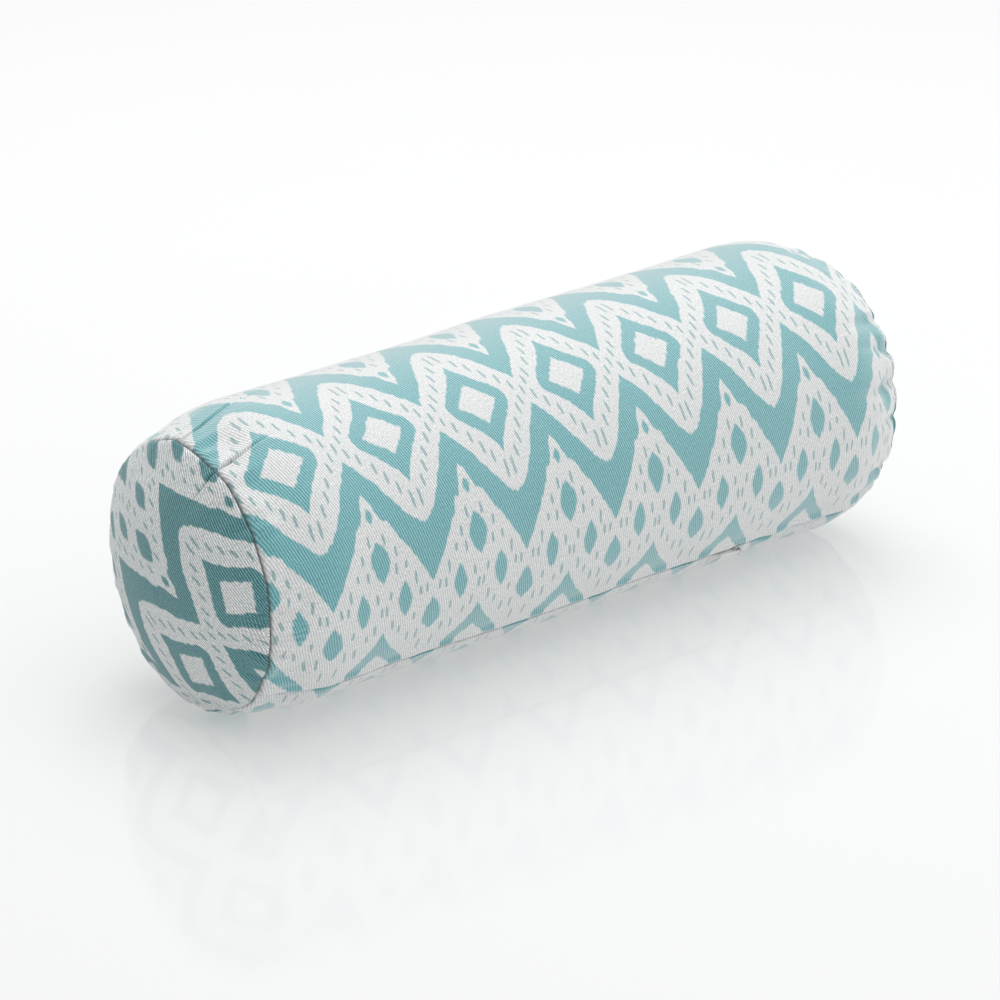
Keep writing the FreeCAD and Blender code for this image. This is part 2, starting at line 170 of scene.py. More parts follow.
# Creases that start at an end seam: angle there, drift of the angle per mm, half width in degrees, depth
# and length
LEFT_BODY_CREASES = [(-1.7, -0.13, 0.5, 4.4, 36.0)]
LEFT_CREASES = [(22.8, -0.05, 0.55, 4.6, 20.0), (-38.0, 0.05, 1.6, 1.2, 22.0),
                (51.0, 0.04, 2.2, 0.7, 16.0), (80.0, 0.12, 1.2, 1.4, 12.0), (86.5, 0.2, 1.1, 1.3, 13.0),
                (107.0, -0.1, 1.2, 1.4, 10.0), (118.0, 0.1, 1.8, 1.3, 14.0), (-80.0, 0.0, 1.6, 1.1, 20.0),
                (-122.0, 0.0, 2.0, 1.0, 24.0), (160.0, 0.0, 2.6, 0.8, 20.0)]
RIPPLE_ANGLE = 98.0        # where fine ripples run from the left end's seam
RIPPLE_SPREAD = 14.0       # how far around the roll, in degrees
RIPPLE_DRIFT = 0.4         # how they run down towards the zip, in degrees per mm
RIPPLE_DEPTH = 0.5
RIPPLE_PEAK = 8.0          # where they are deepest, from the seam
RIPPLES = 150              # as many as would go once around the roll
LEFT_GATHER_DEPTH = 0.34
LEFT_GATHER_PEAK = 5.0
LEFT_FOLD_DEPTH = 0.45
LEFT_FOLD_PEAK = 13.0
RIGHT_GATHER_DEPTH = 0.4
RIGHT_GATHER_PEAK = 6.0
RIGHT_PUFF = 0.9           # the right end's cloth swells a little all around
RIGHT_PUFF_PEAK = 12.0
SCALLOP_STEP = 21.8        # between the puckers of the right end, in degrees
RIGHT_CREASES = [(49.0, 0.05, 2.2, 3.4, 24.0), (63.0, -0.1, 1.8, 2.6, 22.0), (76.0, 0.05, 2.4, 3.8, 36.0),
                 (91.5, 0.0, 2.0, 3.0, 22.0), (114.5, -0.06, 2.6, 3.4, 34.0)]
RIGHT_CREASES += [(49.0 - SCALLOP_STEP * number + RNG.uniform(-2.5, 2.5), RNG.uniform(-0.1, 0.1),
                   RNG.uniform(2.0, 3.0), RNG.uniform(2.2, 3.6), RNG.uniform(20.0, 32.0))
                  for number in range(1, 14)]


def angle_between(first, second):
    return (first - second + 180.0) % 360.0 - 180.0


def creases(listed, angle, from_seam):
    """Valleys that run from a seam along the roll, with the cloth swelling a little beside them."""
    total = 0.0
    for start, drift, width, depth, length in listed:
        off = angle_between(angle, start + drift * from_seam) / width
        fade = np.exp(-(from_seam / length) ** 2)
        valley = np.exp(-np.abs(off) ** 2.2)
        shoulders = 0.1 * np.exp(-(np.abs(off) - 3.0) ** 2)
        total = total - depth * fade * (valley - shoulders)
    return total


def swell(from_seam, peak):
    """0 at a seam, 1 at a distance of peak, and fading beyond."""
    return from_seam / peak * np.exp(1.0 - from_seam / peak)


def seam_swell(side, angle, from_seam):
    """The valley at an end seam and the cloth that swells beside it, higher over the top of the left end."""
    beside = np.exp(-(from_seam / SEAM_SWELL_REACH) ** 2)
    valley = SEAM_SWELL * beside - SEAM_DIP * np.exp(-from_seam / SEAM_DIP_REACH)
    if side > 0:
        return valley
    return valley + BROW * beside * np.exp(-(angle_between(angle, BROW_ANGLE) / BROW_WIDTH) ** 2)


def seam_lift(side, angle, from_seam):
    """Gathers and creases beside an end seam, shared by the roll and the end panel."""
    turn = np.radians(angle)
    if side < 0:
        gathers = LEFT_GATHER_DEPTH * wave_field(LEFT_GATHERS, from_seam, turn)
        gathers = gathers * swell(from_seam, LEFT_GATHER_PEAK)
        folds = LEFT_FOLD_DEPTH * wave_field(LEFT_FOLDS, from_seam, turn) * swell(from_seam, LEFT_FOLD_PEAK)
        low = np.exp(-((angle_between(angle, RIPPLE_ANGLE) + RIPPLE_DRIFT * from_seam) / RIPPLE_SPREAD) ** 2)
        ripples = RIPPLE_DEPTH * np.cos(turn * RIPPLES + 0.09 * from_seam) * low
        ripples = ripples * swell(from_seam, RIPPLE_PEAK)
        return gathers + folds + ripples + creases(LEFT_CREASES, angle, from_seam)
    gathers = RIGHT_GATHER_DEPTH * wave_field(RIGHT_GATHERS, from_seam, turn)
    gathers = gathers * swell(from_seam, RIGHT_GATHER_PEAK)
    puff = RIGHT_PUFF * swell(from_seam, RIGHT_PUFF_PEAK)
    return gathers + creases(RIGHT_CREASES, angle, from_seam) + puff


def seam_fade(from_seam):
    """Gathers and lumps are pulled flatter by the seam itself."""
    return np.clip(from_seam / 4.0, 0.4, 1.0)


def from_zip(angle):
    """Distance around the roll from the slit, positive above it."""
    return -np.radians(angle_between(angle, ZIP_ANGLE)) * MIDDLE_RADIUS


def zip_share(x):
    """1 beside the zip, 0 where the long seam is sewn shut."""
    return 1.0 / (1.0 + np.exp(-(x - ZIP_START) / ZIP_EASE)) / (1.0 + np.exp((x - ZIP_END) / ZIP_EASE))


def zip_lift(x, angle):
    """The cloth rolls over into the slit, swells above it, puckers and bunches where the zip ends."""
    above = from_zip(angle)
    off = np.abs(above)
    gap = SEAM_GAP + (ZIP_GAP - SEAM_GAP) * zip_share(x)
    edge = np.clip(LIP_RADIUS - (off - gap), 0.0, LIP_RADIUS)
    roll_over = LIP_RADIUS - np.sqrt(LIP_RADIUS ** 2 - edge ** 2)
    uneven = np.cos(x * 0.27 + 1.4 * np.sin(x * 0.061))
    pucker = PUCKER_DEPTH * uneven * np.exp(-((off - PUFF_PLACE) / PUCKER_WIDTH) ** 2)
    puff = LIP_PUFF * np.exp(-((above - PUFF_PLACE) / PUFF_WIDTH) ** 2)
    sewn = -SEWN_DIP * (1.0 - zip_share(x)) * np.exp(-off / SEWN_DIP_REACH)
    bunch = BUNCH * np.exp(-((x - ZIP_END - BUNCH_PLACE) / BUNCH_LENGTH) ** 2)
    bunch = bunch * np.exp(-((off - 3.0) / 4.0) ** 2)
    return puff + pucker + sewn + bunch - roll_over


def belly_lift(x, angle):
    """Under the zip the cloth draws in to the floor, out of sight from above."""
    off = angle_between(angle, BELLY_ANGLE)
    width = np.where(off < 0, BELLY_ABOVE, BELLY_BELOW)
    fade = np.clip((HALF_SPAN - np.abs(x)) / BELLY_FADE, 0.0, 1.0)
    return -BELLY_DEPTH * np.exp(-(np.abs(off) / width) ** BELLY_POWER) * fade


def body_lift(x, angle):
    turn = np.radians(angle)
    from_left = x + HALF_SPAN
    from_right = HALF_SPAN - x
    lift = LUMP_DEPTH * wave_field(LUMPS, x, turn)
    lift = lift + wave_field(CRUMPLE, x, turn) * (0.05 + 0.1 * tuck(x))
    lift = lift + seam_lift(-1, angle, from_left) + seam_lift(1, angle, from_right)
    lift = lift + creases(LEFT_BODY_CREASES, angle, from_left)
    nearest = np.minimum(from_left, from_right)
    valleys = seam_swell(-1, angle, from_left) + seam_swell(1, angle, from_right)
    return lift * seam_fade(nearest) + valleys + zip_lift(x, angle) + belly_lift(x, angle)


# ---------------------------------------------------------------- cloth simulation of the stuffed cover

SIM_RINGS = 61             # along the roll
SIM_TURNS = 72             # around it
SIM_END_RINGS = 9
SIM_LAST_RING = 2 * (SIM_END_RINGS - 1) + SIM_RINGS - 1
SIM_FRAMES = 20
SIM_CAP = 2.2              # the furthest that the simulation may move the cloth


def sim_rings():
    """The rings of the closed cover: position along the roll, reach and axis height of each."""
    shares = np.arange(1, SIM_END_RINGS) / SIM_END_RINGS
    inner_x = CROWN * (1.0 - shares ** END_POWER)
    body_x = np.linspace(-HALF_SPAN, HALF_SPAN, SIM_RINGS)
    left = np.full(len(shares), -HALF_SPAN)
    right = np.full(len(shares), HALF_SPAN)
    x = np.concatenate([left - inner_x, body_x, (right + inner_x)[::-1]])
    reach = np.concatenate([radius(left) * shares, radius(body_x), (radius(right) * shares)[::-1]])
    height = np.concatenate([axis_height(left), axis_height(body_x), axis_height(right)])
    return x, reach, height


def ring_faces(rings, turns):
    """Quads between closed rings of vertices that follow each other."""
    faces = []
    for ring in range(rings - 1):
        for number in range(turns):
            after = (number + 1) % turns
            low = ring * turns
            faces.append((low + number, low + after, low + turns + after, low + turns + number))
    return faces


def mesh_object(name, points, faces):
    mesh = bpy.data.meshes.new(name)
    mesh.from_pydata((np.asarray(points) * METRES).tolist(), [], faces)
    mesh.update()
    piece = bpy.data.objects.new(name, mesh)
    bpy.context.scene.collection.objects.link(piece)
    return piece


def simulated_offsets():
    """Blow up the closed cover with its seams drawn tight, and say how far each ring's cloth moves out."""
    x, reach, height = sim_rings()
    turns = np.arange(SIM_TURNS) * 2 * math.pi / SIM_TURNS
    points = around(x[:, None], turns[None, :], reach[:, None], height[:, None])
    count = len(x)
    flat = points.reshape(-1, 3)
    crown_left = [-HALF_SPAN - CROWN, 0, height[0]]
    crown_right = [HALF_SPAN + CROWN, 0, height[-1]]
    faces = ring_faces(count, SIM_TURNS)
    left_pole = len(flat)
    last = (count - 1) * SIM_TURNS
    for number in range(SIM_TURNS):
        after = (number + 1) % SIM_TURNS
        faces.append((left_pole, after, number))
        faces.append((left_pole + 1, last + number, last + after))
    cover = mesh_object("stuffing_test", np.vstack([flat, crown_left, crown_right]), faces)

    held = cover.vertex_groups.new(name="held")
    gathered = cover.vertex_groups.new(name="gathered")
    resting = [index for index, point in enumerate(flat) if point[2] < FLOOR_SOFTNESS]
    held.add(resting, 1.0, "REPLACE")
    weights = 0.5 + 0.4 * np.sin(turns * 11 + 2.0 * np.sin(turns * 3)) * np.cos(turns * 4 + 1.0)
    for ring in (SIM_END_RINGS - 1, SIM_END_RINGS + SIM_RINGS - 2):
        for number, weight in enumerate(weights):
            gathered.add([ring * SIM_TURNS + number], float(weight), "REPLACE")

    cloth = cover.modifiers.new("Cloth", "CLOTH")
    settings = cloth.settings
    settings.quality = 6
    settings.mass = 0.25
    settings.tension_stiffness = 22
    settings.compression_stiffness = 12
    settings.shear_stiffness = 8
    settings.bending_stiffness = 0.3
    settings.use_pressure = True
    settings.uniform_pressure_force = 4
    settings.vertex_group_mass = "held"
    settings.vertex_group_shrink = "gathered"
    settings.shrink_max = 0.1
    settings.effector_weights.gravity = 0
    cloth.point_cache.frame_start = 1
    cloth.point_cache.frame_end = SIM_FRAMES
    for moment in range(1, SIM_FRAMES + 1):
        bpy.context.scene.frame_set(moment)
    evaluated = cover.evaluated_get(bpy.context.evaluated_depsgraph_get())
    moved = np.array([vertex.co[:] for vertex in evaluated.data.vertices]) / METRES
    bpy.context.scene.frame_set(1)
    bpy.data.objects.remove(cover)

    step = moved[:len(flat)].reshape(points.shape) - points
    outwards = np.stack([0 * turns, -np.sin(turns), np.cos(turns)], axis=-1)
    lift = (step * outwards[None]).sum(axis=-1)
    lift = lift - lift.mean(axis=1, keepdims=True)
    return SIM_CAP * np.tanh(lift / SIM_CAP)


def smooth_sample(field, row, column):
    """Values between the rings and turns of a field that closes on itself around, by cubic interpolation."""
    row, column = np.broadcast_arrays(row, column)
    row_base = np.floor(row).astype(int)
    column_base = np.floor(column).astype(int)

    def weights(share):
        return (-0.5 * share ** 3 + share ** 2 - 0.5 * share, 1.5 * share ** 3 - 2.5 * share ** 2 + 1,
                -1.5 * share ** 3 + 2 * share ** 2 + 0.5 * share, 0.5 * share ** 3 - 0.5 * share ** 2)

    total = 0.0
    row_weights = weights(row - row_base)
    column_weights = weights(column - column_base)
    for down in range(4):
        rows = np.clip(row_base + down - 1, 0, field.shape[0] - 1)
        for over in range(4):
            columns = (column_base + over - 1) % field.shape[1]
            total = total + row_weights[down] * column_weights[over] * field[rows, columns]
    return total


STUFFING = simulated_offsets()


def stuffing_lift(ring, angle):
    """The simulated cloth's lift at a ring of the coarse cover, which may lie between two rings."""
    if STUFFING is None:
        return 0.0 * (ring + angle)
    return smooth_sample(STUFFING, ring, (angle % 360.0) / 360.0 * SIM_TURNS)


def body_stuffing(x, angle):
    ring = SIM_END_RINGS - 1 + (x + HALF_SPAN) / (2 * HALF_SPAN) * (SIM_RINGS - 1)
    beside_zip = np.exp(-(from_zip(angle) / 9.0) ** 2)
    return stuffing_lift(ring, angle) * (1.0 - 0.7 * beside_zip)


def end_stuffing(side, share, angle):
    """The same on an end panel; share runs from 0 in the middle to 1 at the seam."""
    ring = share * SIM_END_RINGS - 1
    if side > 0:
        ring = SIM_LAST_RING - ring
    return stuffing_lift(ring, angle)


# ---------------------------------------------------------------- meshes of the cover

def walk(length, step_at):
    """Places from 0 to a length, as far apart as step_at says at each."""
    places = [0.0]
    while places[-1] < length:
        places.append(places[-1] + step_at(places[-1]))
    return np.array(places) * length / places[-1]


def finer_near(place, spots, coarse):
    """The coarse step, brought down beside each spot: (place, step there, reach)."""
    step = coarse
    for spot, fine, reach in spots:
        step = min(step, fine + (coarse - fine) * min(1.0, abs(place - spot) / reach))
    return step


def set_uv(piece, coordinates):
    """One pair of print coordinates for each vertex."""
    layer = piece.data.uv_layers.new(name="print")
    index = np.empty(len(piece.data.loops), dtype=np.int32)
    piece.data.loops.foreach_get("vertex_index", index)
    layer.data.foreach_set("uv", np.asarray(coordinates, dtype=np.float32)[index].ravel())


def thicken(piece, thickness):
    """Give a sheet the cloth's thickness, inwards."""
    sheet = piece.modifiers.new("cloth", "SOLIDIFY")
    sheet.thickness = thickness * METRES
    sheet.offset = -1
    evaluated = piece.evaluated_get(bpy.context.evaluated_depsgraph_get())
    thick = bpy.data.meshes.new_from_object(evaluated)
    piece.modifiers.clear()
    piece.data = thick


def smooth(piece):
    for polygon in piece.data.polygons:
        polygon.use_smooth = True


BODY_STEP_ALONG = 2.0      # between the body panel's points where it is plain
BODY_STEP_AROUND = 1.7
SEAM_STEP = 0.4            # between points beside an end seam, on an end panel too
CREASE_STEP = 0.3          # across the sharp creases
RIPPLE_STEP = 0.5
LIP_STEP = 0.2             # beside the slit


def cover_body():
    """The body panel: a sheet around the roll. Long edges turn in at the slit, short ones at the seams."""
    length = 2 * HALF_SPAN
    girth = 2 * math.pi * MIDDLE_RADIUS
    ends = [(0.0, SEAM_STEP, 12.0), (length, SEAM_STEP, 12.0)]
    along = walk(length, lambda place: finer_near(place, ends, BODY_STEP_ALONG)) - HALF_SPAN
    deep = [crease[0] for crease in LEFT_BODY_CREASES + LEFT_CREASES[:1]]
    folds = [((ZIP_ANGLE - angle) / 360.0 * girth, CREASE_STEP, 18.0) for angle in deep]
    folds.append(((ZIP_ANGLE - RIPPLE_ANGLE) / 360.0 * girth, RIPPLE_STEP, 45.0))
    lips = [(0.0, LIP_STEP, 12.0), (girth, LIP_STEP, 12.0)]
    steps = walk(girth, lambda place: finer_near(place, lips + folds, BODY_STEP_AROUND))
    around_share = steps / girth
    gap = SEAM_GAP + (ZIP_GAP - SEAM_GAP) * zip_share(along)
    gap_angle = np.degrees(gap / MIDDLE_RADIUS)
    angle = (ZIP_ANGLE - gap_angle[:, None]) - around_share[None, :] * (360.0 - 2 * gap_angle[:, None])
    x = np.repeat(along[:, None], len(steps), axis=1)
    lift = body_lift(x, angle) + body_stuffing(x, angle)
    from_seam = HALF_SPAN - np.abs(along)
    along = along - np.sign(along) * SEAM_OPENING * np.exp(-from_seam / SEAM_OPENING_REACH)

    # both long edges turn in
    turned = (LIP_DEPTH, 0.5 * (LIP_DEPTH + LIP_RADIUS))
    edge = lift[:, :1]
    other_edge = lift[:, -1:]
    lift = np.hstack([edge - turned[0] + LIP_RADIUS, edge - turned[1] + LIP_RADIUS, lift,
                      other_edge - turned[1] + LIP_RADIUS, other_edge - turned[0] + LIP_RADIUS])
    angle = np.hstack([angle[:, :1], angle[:, :1], angle, angle[:, -1:], angle[:, -1:]])
    x = np.repeat(along[:, None], lift.shape[1], axis=1)
    # both short edges turn in
    lift = np.vstack([lift[:1] - SEAM_TURN, lift, lift[-1:] - SEAM_TURN])
    angle = np.vstack([angle[:1], angle, angle[-1:]])
    x = np.vstack([x[:1], x, x[-1:]])

    points = around(x, np.radians(angle), radius(x) + lift, axis_height(x))
    rows, columns = x.shape
    faces = []
    for row in range(rows - 1):
        for column in range(columns - 1):
            corner = row * columns + column
            faces.append((corner, corner + columns, corner + columns + 1, corner + 1))
    piece = mesh_object("cover_body_cloth", points.reshape(-1, 3), faces)
    drop = np.radians(angle - DIAMOND_ANGLE) / REPEAT_TURN
    column_place = (x + HALF_SPAN - FIRST_COLUMN) / REPEAT - SKEW * drop
    set_uv(piece, np.stack([column_place, drop], axis=-1).reshape(-1, 2))
    thicken(piece, CLOTH)
    smooth(piece)
    return piece


END_TURNS = 900
END_STEP = 1.8             # between an end's rings, away from its seam
END_PRINT_TURN = {-1: (0.563, 0.826), 1: (0.94, 0.34)}     # which way a row of diamonds runs on each end
END_PRINT_START = {-1: (42.3, -42.8), 1: (12.0, 20.0)}     # where one diamond lies along and across it
END_REPEAT = 61.5          # width of a repeat on the ends


def arc_from_middle(share, rim, crown):
    """Length of cloth from the middle of an end to a ring, over its bulge."""
    slope = END_POWER * crown / rim
    run = 2 * END_POWER - 1
    return rim * (share + slope ** 2 * share ** run / (2 * run))


def end_grid(side, steps, turns, inset=0.0):
    """Points of an end's dome without details: rings from the seam to the middle."""
    rim = radius(side * HALF_SPAN) - inset
    crown = CROWN - inset
    share = 1.0 - np.asarray(steps) / rim
    angle = np.arange(turns) * 360.0 / turns
    share, angle = np.broadcast_arrays(share[:, None], angle[None, :])
    return rim, crown, share, angle


def end_points(side, share, angle, rim, crown, drop, bulge, floor=0.0):
    """Points of an end's dome: drop moves the cloth towards the axis, bulge along it."""
    x = side * (HALF_SPAN + crown * (1.0 - share ** END_POWER) + bulge)
    return around(x, np.radians(angle), rim * share - drop, axis_height(side * HALF_SPAN), floor)


def dome_faces(rings, turns, side):
    """Quads between the rings of a dome, and a fan over its middle."""
    faces = ring_faces(rings, turns)
    middle = rings * turns
    last = (rings - 1) * turns
    faces += [(last + number, last + (number + 1) % turns, middle) for number in range(turns)]
    return [face[::-1] for face in faces] if side > 0 else faces


def end_steps(rim, coarse):
    """Distances of an end's rings from its seam, close together beside it."""
    return walk(rim, lambda place: finer_near(place, [(0.0, SEAM_STEP, 10.0)], coarse))[:-1]


def cover_end(side, name):
    """A round end panel, drawn in at its seam."""
    rim, crown, share, angle = end_grid(side, end_steps(radius(side * HALF_SPAN), END_STEP), END_TURNS)
    from_seam = rim * (1.0 - share)
    turn = np.radians(angle)
    # the body's gathers and creases carry on over the seam, but shorter
    shared = seam_lift(side, angle, from_seam * 1.6) * seam_fade(from_seam) * np.exp(-from_seam / 30.0)
    lumps = 0.5 * wave_field(LUMPS, from_seam, turn) * share * (1 - share) * 4
    stuffing = end_stuffing(side, share, angle)
    drop = -seam_swell(side, angle, from_seam) - stuffing * share ** 2 - shared * share
    bulge = 0.7 * shared + lumps + stuffing * (1 - share)
    # the edge turns in at the seam
    bulge = bulge + SEAM_OPENING * np.exp(-from_seam / SEAM_OPENING_REACH)
    drop = np.vstack([drop[:1] + SEAM_TURN, drop])
    bulge = np.vstack([bulge[:1], bulge])
    share = np.vstack([share[:1], share])
    angle = np.vstack([angle[:1], angle])
    points = end_points(side, share, angle, rim, crown, drop, bulge)
    middle = points[-1].mean(axis=0)
    piece = mesh_object(name, np.vstack([points.reshape(-1, 3), middle]),
                        dome_faces(share.shape[0], END_TURNS, side))
    arc = arc_from_middle(share, rim, crown)
    right = arc * np.sin(np.radians(angle))
    up = arc * np.cos(np.radians(angle))
    right = np.append(right.ravel(), 0.0)
    up = np.append(up.ravel(), 0.0)
    run, rise = END_PRINT_TURN[side]
    start_along, start_across = END_PRINT_START[side]
    along = (right * run + up * rise - start_along) / END_REPEAT
    across = (up * run - right * rise - start_across) / END_REPEAT
    set_uv(piece, np.stack([along, across], axis=-1))
    thicken(piece, CLOTH)
    smooth(piece)
    return piece


# ---------------------------------------------------------------- meshes of the inner cushion

CASE_INSET = 4.0
CASE_CLOTH = 0.4           # the case's thickness
CASE_SEAM_DIP = 0.8
CASE_SEAM_REACH = 1.5
CASE_SHRINK = 0.0008       # keeps the case's body clear of its ends
FILLING_INSET = 6.0
ZIP_ROOM = 3.0             # how far the zip presses the cushion in
NECK = 15.0                # beside a seam the cushion stays as slim as the seam, then widens over NECK_EASE
NECK_EASE = 11.0
INNER_TURNS = 150


def neck_place(x):
    """Where along the roll the cushion takes its size from: the seam's size beside the seam."""
    from_seam = HALF_SPAN - np.abs(x)
    ease = np.clip((from_seam - NECK) / NECK_EASE, 0.0, 1.0)
    return np.sign(x) * (HALF_SPAN - from_seam * ease * ease * (3.0 - 2.0 * ease))


def inner_lift(x, angle, roughness):
    turn = np.radians(angle)
    off = from_zip(angle)
    pressed = np.clip(ZIP_ROOM - off ** 2 / (2 * MIDDLE_RADIUS), 0.0, None)
    folds = 0.35 * (wave_field(LEFT_FOLDS, x, turn) * tuck(x) - tuck(x))
    tucked = BELLY_DEPTH * np.exp(-(angle_between(angle, BELLY_ANGLE) / 16.0) ** 2)
    return roughness * wave_field(CRUMPLE, x, turn) + folds - pressed - tucked


def inner_case_body():
    length = 2 * HALF_SPAN
    ends = [(0.0, 1.0, 12.0), (length, 1.0, 12.0)]
    along = walk(length, lambda place: finer_near(place, ends, 4.0)) - HALF_SPAN
    angle = np.arange(INNER_TURNS) * 360.0 / INNER_TURNS
    x, angle = np.broadcast_arrays(along[:, None], angle[None, :])
    dip = CASE_SEAM_DIP * np.exp(-(HALF_SPAN - np.abs(x)) / CASE_SEAM_REACH)
    size = neck_place(x)
    reach = radius(size) - CASE_INSET + inner_lift(x, angle, 0.12) - dip
    points = around(x * (1 - CASE_SHRINK), np.radians(angle), reach, axis_height(size), CASE_INSET)
    faces = [face[::-1] for face in ring_faces(len(along), INNER_TURNS)]
    piece = mesh_object("inner_case_body_cloth", points.reshape(-1, 3), faces)
    set_uv(piece, np.stack([x, np.radians(angle) * MIDDLE_RADIUS], axis=-1).reshape(-1, 2) / REPEAT)
    thicken(piece, CASE_CLOTH)
    smooth(piece)
    return piece


def inner_case_end(side, name):
    rim, crown, share, angle = end_grid(side, end_steps(radius(side * HALF_SPAN) - CASE_INSET, 5.0),
                                        INNER_TURNS, CASE_INSET)
    from_seam = rim * (1.0 - share)
    dip = CASE_SEAM_DIP * np.exp(-from_seam / CASE_SEAM_REACH)
    wrinkles = 0.25 * wave_field(LEFT_FOLDS, from_seam, np.radians(angle)) * swell(from_seam, 8.0)
    points = end_points(side, share, angle, rim, crown, dip - wrinkles, 0.2 + wrinkles, CASE_INSET)
    piece = mesh_object(name, np.vstack([points.reshape(-1, 3), points[-1].mean(axis=0)]),
                        dome_faces(share.shape[0], INNER_TURNS, side))
    flat = np.vstack([points[..., 1:].reshape(-1, 2), points[-1, :, 1:].mean(axis=0)])
    set_uv(piece, flat / REPEAT)
    thicken(piece, CASE_CLOTH)
    smooth(piece)
    return piece


def fibre_filling():
    """The stuffing: one closed lumpy form that fills the inner case."""
    shares = np.linspace(0.06, 0.94, 12)
    along = walk(2 * HALF_SPAN, lambda place: 4.5) - HALF_SPAN
    crown = CROWN - FILLING_INSET
    inner_x = crown * (1.0 - shares ** END_POWER)
    x = np.concatenate([-HALF_SPAN - inner_x, along, (HALF_SPAN + inner_x)[::-1]])
    share = np.concatenate([shares, np.ones(len(along)), shares[::-1]])
    at = np.clip(x, -HALF_SPAN, HALF_SPAN)
    x, share, at = x[:, None], share[:, None], at[:, None]
    angle = np.arange(INNER_TURNS)[None, :] * 360.0 / INNER_TURNS
    size = neck_place(at)
    reach = (radius(size) - FILLING_INSET + inner_lift(at, angle, 0.25)) * share
    points = around(x, np.radians(angle), reach, axis_height(size), FILLING_INSET)
    rings = x.shape[0]
    faces = [face[::-1] for face in ring_faces(rings, INNER_TURNS)]
    first_pole = rings * INNER_TURNS
    last = (rings - 1) * INNER_TURNS
    for number in range(INNER_TURNS):
        after = (number + 1) % INNER_TURNS
        faces.append((first_pole, number, after))
        faces.append((first_pole + 1, last + after, last + number))
    poles = [points[0].mean(axis=0), points[-1].mean(axis=0)]
    piece = mesh_object("filling_fibre", np.vstack([points.reshape(-1, 3), poles]), faces)
    smooth(piece)
    return piece


# ---------------------------------------------------------------- materials

OFF_WHITE = (0.78, 0.8, 0.8, 1.0)
TEAL = (0.095, 0.46, 0.5, 1.0)
# The end panels get a copy of the body's cloth with painted shade, though the real cover is one cloth: a
# darker teal, and a white that their stronger twill lines leave greyer than the body's.
END_WHITE_PAINTED_SHADE = (0.84, 0.88, 0.88, 1.0)
END_TEAL_PAINTED_SHADE = (0.036, 0.3, 0.33, 1.0)
DASH = (0.12, 0.34, 0.36, 1.0)
SOFTNESS = 0.022           # width of the print's soft edges, in repeats
WARP_THREADS = 46.0        # dyed together, in one repeat
THREAD_SLIP = 0.02         # how far these are out of step, in repeats
INK_WANDER = 0.03          # and how far the ink wanders beside that
HEART_WIDTH = 0.2          # half the blank in a diamond's middle
HEART_HEIGHT = 0.205

# Half of a diamond ring's outline, and the upper and lower edges of the zigzag band. The first number of each
# pair is the distance from a column of diamonds as a share of half a repeat, the second the distance from
# their row in repeats.
RING_EDGE = [(0.0, 0.46), (0.11, 0.35), (0.276, 0.24), (0.444, 0.15), (0.59, 0.07), (0.62, 0.0), (1.0, -0.6)]
BAND_TOP = [(0.0, 0.805), (0.12, 0.775), (0.21, 0.728), (0.326, 0.658), (0.456, 0.558), (0.578, 0.459),
            (0.688, 0.359), (0.826, 0.26), (0.93, 0.19), (1.0, 0.13)]
BAND_BOTTOM = [(0.0, 1.305), (0.24, 1.097), (0.5, 0.887), (0.61, 0.808), (0.66, 0.74), (0.70, 0.705),
               (0.81, 0.668), (0.87, 0.6), (0.89, 0.55), (0.93, 0.5), (1.0, 0.439)]
CURVE_SCALE = 1.4

# Drops of solid ink: distance from the column, from the row, half width, half height above and below
DROPS = [(0.5, 1.017, 0.092, 0.18, 0.18), (0.285, 1.40, 0.068, 0.17, 0.155), (0.0, 1.65, 0.093, 0.2, 0.125),
         (0.5, 0.63, 0.034, 0.07, 0.062)]
# Short dashes, faintly inked: distance from the column, from the row, half height
DASHES = [(0.0375, 0.60, 0.072), (0.122, 0.475, 0.052), (0.195, 0.376, 0.052), (0.26, 0.264, 0.05),
          (0.35, 0.158, 0.05), (0.42, 0.076, 0.046), (0.5, 0.0, 0.046), (0.424, 0.837, 0.046),
          (0.33, 0.962, 0.04), (0.357, 1.11, 0.042), (0.256, 1.09, 0.03), (0.17, 1.226, 0.052),
          (0.066, 1.356, 0.04), (0.13, 1.356, 0.04), (0.43, 1.326, 0.04), (0.475, 1.45, 0.042),
          (0.41, 1.6, 0.048), (0.19, 1.59, 0.034), (0.33, 1.675, 0.034), (0.13, 1.79, 0.05),
          (0.23, 1.79, 0.05), (0.068, 1.948, 0.06)]
DASH_HALF_WIDTH = 0.0125


